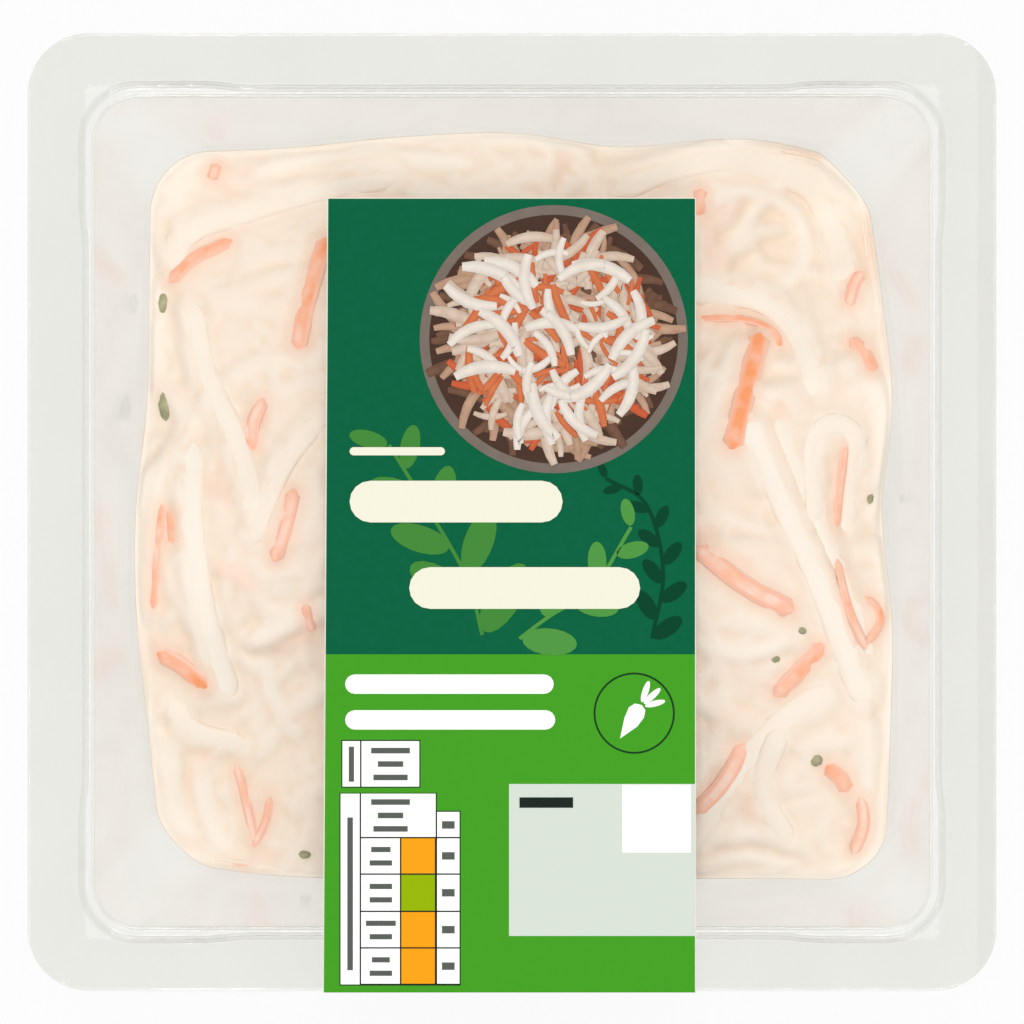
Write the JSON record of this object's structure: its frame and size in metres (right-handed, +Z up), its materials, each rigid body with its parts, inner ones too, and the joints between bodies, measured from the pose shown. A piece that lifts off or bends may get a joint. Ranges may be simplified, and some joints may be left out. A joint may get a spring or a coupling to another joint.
{
  "type": "coleslaw in a sealed deli tub",
  "caption": "Shredded cabbage and carrot in a creamy dressing, in a square clear plastic tub with a clear film lid and a printed strip label.",
  "frame": {"origin": "middle of the plane that the tub stands on", "axes": "+Z up out of the tub's mouth, -Y towards the front edge that the label runs over, +X to the right seen from that front"},
  "size_m": [0.13, 0.1287, 0.0454],
  "materials": {
    "clear_plastic": "gloss",
    "clear_film": "gloss",
    "dressed_slaw": "satin",
    "printed_label": "satin"
  },
  "bodies": {
    "root": {"tub": "clear_plastic", "coleslaw": "dressed_slaw", "lid_film": "clear_film", "label": "printed_label"}
  },
  "joints": []
}
